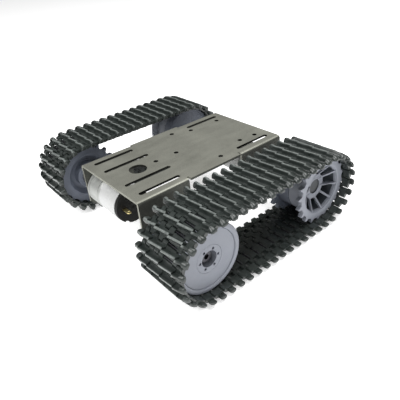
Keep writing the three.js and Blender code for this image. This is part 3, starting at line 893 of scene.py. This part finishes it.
def make_sprocket():
    body, slot = "drive_wheel_{side}", "wheel_plastic"
    outer, inner = ["sprocket_outer_half"], ["sprocket_inner_half"]
    inside = BARREL - WALL
    teeth = toothed_outline()

    ring = prism([teeth, circle(BARREL - 0.3, 96)], RIM_OUTER - FLANGE, RIM_OUTER)
    mesh = finished("sprocket_outer_ring", ring, slot, chamfer=0.15)
    show("sprocket_outer_ring_{side}", mesh, body, outer, AT_SPROCKET)

    drum = turned([
        (inside, SPLIT), (BARREL, SPLIT), (BARREL, RIM_OUTER - FLANGE - 0.05),
        (BARREL - 0.25, RIM_OUTER - FLANGE + 0.1), (BARREL - 0.25, RIM_OUTER - 0.05),
        (BARREL - 0.4, RIM_OUTER - 0.1), (inside + 0.1, RIM_OUTER - 0.4), (inside, RIM_OUTER - 0.7),
    ])
    # Painted shade for the hollow behind the spokes.
    hollow = (("wheel_hollow_painted_shade", is_shaded_wheel_hollow),)
    mesh = finished("sprocket_outer_drum", drum, slot, others=hollow)
    show("sprocket_outer_drum_{side}", mesh, body, outer, AT_SPROCKET)

    web = prism([circle(inside + 0.1, 96), circle(POCKET, 48), *spoke_windows()], *WEB)
    for vert in web.verts:
        past_hub = math.hypot(vert.co.x, vert.co.z) - WINDOW[0]
        vert.co.y += WEB_DISH * min(1, max(0, past_hub / (WINDOW[1] - WINDOW[0])))
    mesh = finished("sprocket_spokes", web, slot, chamfer=0.2)
    show("sprocket_spokes_{side}", mesh, body, outer, AT_SPROCKET)

    seat, lid = WEB[0] - 2.3, WEB[0] - 0.3
    cup = turned([
        (2.3, 68.8), (7, 68.8), (7, WEB[0]), (POCKET + 0.02, WEB[0]), (POCKET + 0.02, WEB[1] - 0.3),
        (POCKET - 0.15, WEB[1] - 0.9), (0, WEB[1] - 0.95), (0, lid), (4, lid), (4, seat), (2.3, seat),
    ], 64)
    # Painted shade on the floor of the hub pocket.
    mesh = finished("sprocket_hub_cup", cup, slot, others=(("hub_pocket_painted_shade", is_shaded_pocket_floor),))
    show("sprocket_hub_cup_{side}", mesh, body, outer, AT_SPROCKET)

    screw = turned([
        (0, 56), (1.2, 56), (1.5, 56.3), (1.5, seat), (3.6, seat), (3.6, lid - 0.5), (3.2, lid - 0.1),
        (0, lid - 0.1),
    ], 48)
    mesh = finished("hub_screw", screw, "fastener_steel")
    show("hub_screw_{side}", mesh, body, ["sprocket_screw"], AT_SPROCKET)

    # The inner halves take the darker plastic painted for their shade.
    ring = prism([teeth, circle(BARREL - 0.3, 96)], RIM_INNER, RIM_INNER + FLANGE)
    mesh = finished("sprocket_inner_ring", ring, "wheel_inner_painted_shade", chamfer=0.15)
    show("sprocket_inner_ring_{side}", mesh, body, inner, AT_SPROCKET)

    bore = 6.3
    dish = turned([
        (bore, 53.2), (BOSS - 0.4, 53.2), (BOSS, 53.6), (BOSS, 59.1), (BOSS + 0.4, 59.6), (11.9, 59.7),
        (12.5, 59.4), (15.2, RIM_INNER + 0.15), (15.8, RIM_INNER), (BARREL - 0.25, RIM_INNER + 0.04),
        (BARREL - 0.25, RIM_INNER + FLANGE - 0.1), (BARREL, RIM_INNER + FLANGE + 0.05),
        (BARREL, SPLIT - 0.3), (inside, SPLIT - 0.3), (inside, 58.3), (12.6, 61.7), (BOSS, 61.7),
        (bore, 66),
    ])
    mesh = finished("sprocket_dish", dish, "wheel_inner_painted_shade", others=hollow)
    show("sprocket_dish_{side}", mesh, body, inner, AT_SPROCKET)

    coupling = turned([
        (2.3, 37.3), (2.6, 37), (5.6, 37), (6, 37.4), (6, 41), (5.8, 41.2), (5.8, 41.6), (6, 41.8),
        (6, 62.7), (5.7, 63), (2, 63), (2, 54), (2.3, 54),
    ], 64)
    mesh = finished("drive_hub", coupling, "turned_metal")
    show("drive_hub_{side}", mesh, body, ["drive_coupling"], AT_SPROCKET)


# ---------------------------------------------------------------- idler


def make_idler():
    body, slot = "idler_wheel_{side}", "wheel_plastic"
    outer, inner = ["idler_outer_half"], ["idler_inner_half"]
    inside = BARREL - WALL
    face = RIM_OUTER - 0.7
    groove = 8.7

    rim = turned([
        (IDLER_FACE - 0.3, face - 0.9), (IDLER_FACE, face), (IDLER_FACE + 0.12, RIM_OUTER - 0.15),
        (IDLER_FACE + 0.3, RIM_OUTER), (IDLER_RIM - 0.9, RIM_OUTER), (IDLER_RIM - 0.35, RIM_OUTER - 0.15),
        (IDLER_RIM, RIM_OUTER - 0.6), (IDLER_RIM, RIM_OUTER - FLANGE), (BARREL, RIM_OUTER - FLANGE),
        (BARREL, SPLIT), (inside, SPLIT), (inside, RIM_OUTER - 2.5), (IDLER_FACE - 0.3, RIM_OUTER - 2.3),
    ], 128)
    mesh = finished("idler_outer_rim", rim, slot)
    show("idler_outer_rim_{side}", mesh, body, outer, AT_IDLER)

    disc = turned([
        (groove, face - 1.6), (groove, face - 0.12), (groove + 0.1, face), (IDLER_FACE - 0.25, face),
        (IDLER_FACE - 0.25, face - 1.6),
    ], 128)
    mesh = finished("idler_disc", disc, slot)
    show("idler_disc_{side}", mesh, body, outer, AT_IDLER)

    holes = [circle(0.85, 20, polar(6.3, math.radians(60 * k))) for k in range(6)]
    hub = prism([circle(groove - 0.08, 96), circle(IDLER_SEAT, 64), *holes], face - 1.6, face - 0.06)
    mesh = finished("idler_hub_plate", hub, slot, chamfer=0.1)
    show("idler_hub_plate_{side}", mesh, body, outer, AT_IDLER)

    sleeve = turned([
        (3.2, SPLIT), (7, SPLIT), (7.6, face - 3.4), (7.6, face - 1.55), (IDLER_SEAT, face - 1.55),
        (IDLER_SEAT, SPLIT + 1.4), (3.2, SPLIT + 1.4),
    ], 64)
    mesh = finished("idler_hub_sleeve", sleeve, slot)
    show("idler_hub_sleeve_{side}", mesh, body, outer, AT_IDLER)

    back = turned([
        (3.2, SPLIT - 0.3), (7, SPLIT - 0.3), (7, RIM_INNER + 2.4), (inside, RIM_INNER + 2.4),
        (inside, SPLIT - 0.3), (BARREL, SPLIT - 0.3), (BARREL, RIM_INNER + FLANGE),
        (IDLER_RIM, RIM_INNER + FLANGE), (IDLER_RIM, RIM_INNER + 0.6), (IDLER_RIM - 0.35, RIM_INNER + 0.15),
        (IDLER_RIM - 0.9, RIM_INNER), (IDLER_FACE + 0.3, RIM_INNER), (IDLER_FACE, RIM_INNER + 0.6),
        (7.4, RIM_INNER + 0.6), (7.2, RIM_INNER + 0.2), (6.9, RIM_INNER), (IDLER_SEAT + 0.3, RIM_INNER),
        (IDLER_SEAT, RIM_INNER + 0.3), (IDLER_SEAT, RIM_INNER + 5.4), (3.2, RIM_INNER + 5.4),
    ], 128)
    # Painted shade: the inner disc takes the darker plastic painted for its shade.
    mesh = finished("idler_inner_disc", back, "wheel_inner_painted_shade")
    show("idler_inner_disc_{side}", mesh, body, inner, AT_IDLER)

    for name, start in (("outer", SPLIT + 1.55), ("inner", RIM_INNER + 1.1)):
        make_bearing(name, start, body)
    make_axle()


def make_bearing(name, start, body):
    """A small ball bearing: two rings with a recessed shield between them."""
    end = start + 4
    middle = (start + end) / 2
    half = [
        (2.25, 0), (2.25, 1.85), (2.4, 2), (3.0, 2), (3.1, 1.75), (4.3, 1.75), (4.4, 2), (4.85, 2),
        (5, 1.85), (5, 0),
    ]
    outline = [(r, middle - y) for r, y in half]
    outline += [(r, middle + y) for r, y in reversed(half[1:-1])]
    mesh = finished(f"idler_bearing_{name}", turned(outline, 64), "bearing_steel")
    node = f"idler_bearing_{name}"
    show(f"idler_ball_bearing_{name}_{{side}}", mesh, body, [node], AT_IDLER)


def make_axle():
    """The fixed axle: a socket-head bolt, its spacer, its washer and its nut."""
    steel = "fastener_steel"
    head_face = 78.2
    shank = turned([
        (0, 26), (1.7, 26), (2, 26.3), (2, 74.2), (3.3, 74.2), (3.5, 74.4), (3.5, 76.2), (1.9, 76.2),
        (0, 76.2),
    ], 48)
    socket = [polar(1.75, math.radians(60 * k)) for k in range(6)]
    head = prism([circle(3.5, 48), socket], 76.1, head_face)
    mesh = finished("axle_bolt", joined(shank, head), "blackened_steel", chamfer=0.2)
    show("axle_bolt_{side}", mesh, "chassis", ["idler_axle_bolt"], AT_IDLER)

    start, end = TAB_FACE + 0.3, RIM_INNER + 0.8
    spacer = turned([
        (2.25, start), (3.2, start), (3.4, start + 0.2), (3.4, end - 0.2), (3.2, end), (2.25, end),
    ], 48)
    mesh = finished("axle_spacer", spacer, "turned_metal")
    show("axle_spacer_{side}", mesh, "chassis", ["idler_axle_spacer"], AT_IDLER)

    start, end = TAB_BACK - 1.3, TAB_BACK - 0.3
    washer = turned([
        (2.25, start), (4.4, start), (4.5, start + 0.1), (4.5, end - 0.1), (4.4, end), (2.25, end),
    ], 48)
    mesh = finished("axle_washer", washer, steel)
    show("axle_washer_{side}", mesh, "chassis", ["idler_axle_washer"], AT_IDLER)

    hexagon = [polar(4, math.radians(60 * k)) for k in range(6)]
    nut = prism([hexagon, circle(2.25, 32)], TAB_BACK - 5, TAB_BACK - 1.6)
    mesh = finished("axle_nut", nut, steel, chamfer=0.35)
    show("axle_nut_{side}", mesh, "chassis", ["idler_axle_nut"], AT_IDLER)


# ---------------------------------------------------------------- gear motor


def motor_turned(outline, segments=96):
    """Like turned, from (radius, depth) corners, with depth measured inwards from the tab's back."""
    return turned([(r, TAB_BACK - depth) for r, depth in outline], segments)


def make_motor():
    r = MOTOR_RADIUS
    silver, steel = "motor_silver", "fastener_steel"
    holes = [circle(1.6, 24, (dx, 0)) for dx in (SCREW_OFFSET, -SCREW_OFFSET)]
    plate = prism([circle(r, 96), circle(2.4, 32), *holes], TAB_BACK - 2.3, TAB_BACK - 0.3)
    boss = motor_turned([(2.4, -1.9), (3.3, -1.9), (3.5, -1.7), (3.5, 0.4), (2.4, 0.4)], 48)
    mesh = finished("gearbox_front", joined(plate, boss), silver, chamfer=0.25)
    show("gearbox_front_{side}", mesh, "chassis", ["gearbox_plate"], AT_SPROCKET)

    housing = motor_turned([
        (11, 2.6), (r - 0.3, 2.6), (r, 2.9), (r, 6.2), (r - 0.15, 6.35), (r - 0.15, 6.6), (r, 6.75),
        (r, 12.9), (r - 0.2, 13.1), (11, 13.1),
    ])
    mesh = finished("gearbox_ring", housing, silver)
    show("gearbox_ring_{side}", mesh, "chassis", ["gearbox_housing"], AT_SPROCKET)

    can = motor_turned([
        (1.5, 13.4), (r - 0.5, 13.4), (r, 13.9), (r, 16.0), (r - 0.25, 16.3), (11.9, 16.3), (11.9, 36.0),
        (10.9, 36.0), (10.9, 14.9), (1.5, 14.9),
    ])
    mesh = finished("motor_shell", can, silver)
    show("motor_shell_{side}", mesh, "chassis", ["motor_can"], AT_SPROCKET)

    label = motor_turned([
        (12.2, 16.6), (r - 0.1, 16.6), (r, 16.7), (r, 35.9), (r - 0.1, 36.0), (12.2, 36.0),
    ])
    mesh = finished("motor_wrap", label, "label")
    show("motor_wrap_{side}", mesh, "chassis", ["motor_label"], AT_SPROCKET)

    make_rear_cap()
    make_terminals()

    screw = motor_turned([
        (0, -2.8), (1.0, -2.8), (1.15, -3.25), (2.2, -3.05), (2.6, -2.5), (2.75, -1.8), (1.3, -1.8),
        (1.3, 2.2), (0, 2.2),
    ], 40)
    mesh = finished("motor_screw", screw, steel)
    for name, dx in (("a", SCREW_OFFSET), ("b", -SCREW_OFFSET)):
        place = AT_SPROCKET @ Matrix.Translation((dx * MM, 0, 0))
        show(f"motor_screw_head_{name}_{{side}}", mesh, "chassis", [f"motor_screw_{name}"], place)


def keyed_circle(radius, floor):
    """A round outline with one notch in its edge, down to the floor radius."""
    corners = []
    for degrees in range(0, 360, 3):
        notched = abs(degrees - CAP_NOTCH) <= CAP_NOTCH_HALF
        corners.append(polar(floor if notched else radius, math.radians(degrees)))
    return corners


def make_rear_cap():
    """The black cap: a thin rim, a notched end with slots for the terminals, a raised bearing seat."""
    rim = 12.2
    shell = prism([keyed_circle(rim, 11.3), circle(10.9, 96)], TAB_BACK - 37.5, TAB_BACK - 36.35)
    slots = []
    for x in (TERMINAL_X, -TERMINAL_X):
        slots.append([(x - 1.8, -0.7), (x + 1.8, -0.7), (x + 1.8, 0.7), (x - 1.8, 0.7)])
    vents = [circle(0.9, 20, polar(7.6, math.radians(degrees))) for degrees in (65, 115)]
    end = prism([keyed_circle(rim, 10.6), *slots, *vents], TAB_BACK - 38.8, TAB_BACK - 37.5)
    seat = motor_turned([(0, 38.7), (3.4, 38.7), (3.2, 38.98), (1.6, 39), (1.4, 38.85), (0, 38.85)], 48)
    mesh = finished("motor_end_cap", joined(shell, end, seat), "cap_black", chamfer=0.25)
    show("motor_end_cap_{side}", mesh, "chassis", ["motor_rear_cap"], AT_SPROCKET)


def make_terminals():
    """Brass solder tags with a round eye in a rounded end."""
    start, end = TAB_BACK - 45.6, TAB_BACK - 35.2
    half, eye_radius = 1.4, 0.75
    tip = []
    for degrees in range(-90, 91, 30):
        across, back = polar(half, math.radians(degrees - 90))
        tip.append((across, start + half + back))
    outline = [*tip, (half, end), (-half, end)]
    eye = circle(eye_radius, 20, (0.0, start + 1.9))
    turn = Matrix(((1, 0, 0), (0, 0, 1), (0, 1, 0))).to_4x4()
    for name, side in (("a", 1), ("b", -1)):
        tag = prism([outline, eye], -0.25, 0.25)
        bmesh.ops.transform(tag, matrix=turn, verts=tag.verts)
        bmesh.ops.translate(tag, vec=(side * TERMINAL_X, 0, 0), verts=tag.verts)
        mesh = finished(f"motor_tag_{name}", tag, "brass", chamfer=0.06)
        node = f"motor_terminal_{name}"
        show(f"motor_tag_{name}_{{side}}", mesh, "chassis", [node], AT_SPROCKET)


# ---------------------------------------------------------------- CAD nodes that stay


def dress_nodes():
    """Gives every CAD node the look of its material slot."""
    for part in frame["record"]["subparts"]:
        for slot in frame["nodes"][part["node"]].material_slots:
            slot.material = LOOKS[part["material_slot"]]


dress_nodes()
make_camera()
make_studio()
make_plate()
make_tracks()
make_sprocket()
make_idler()
make_motor()
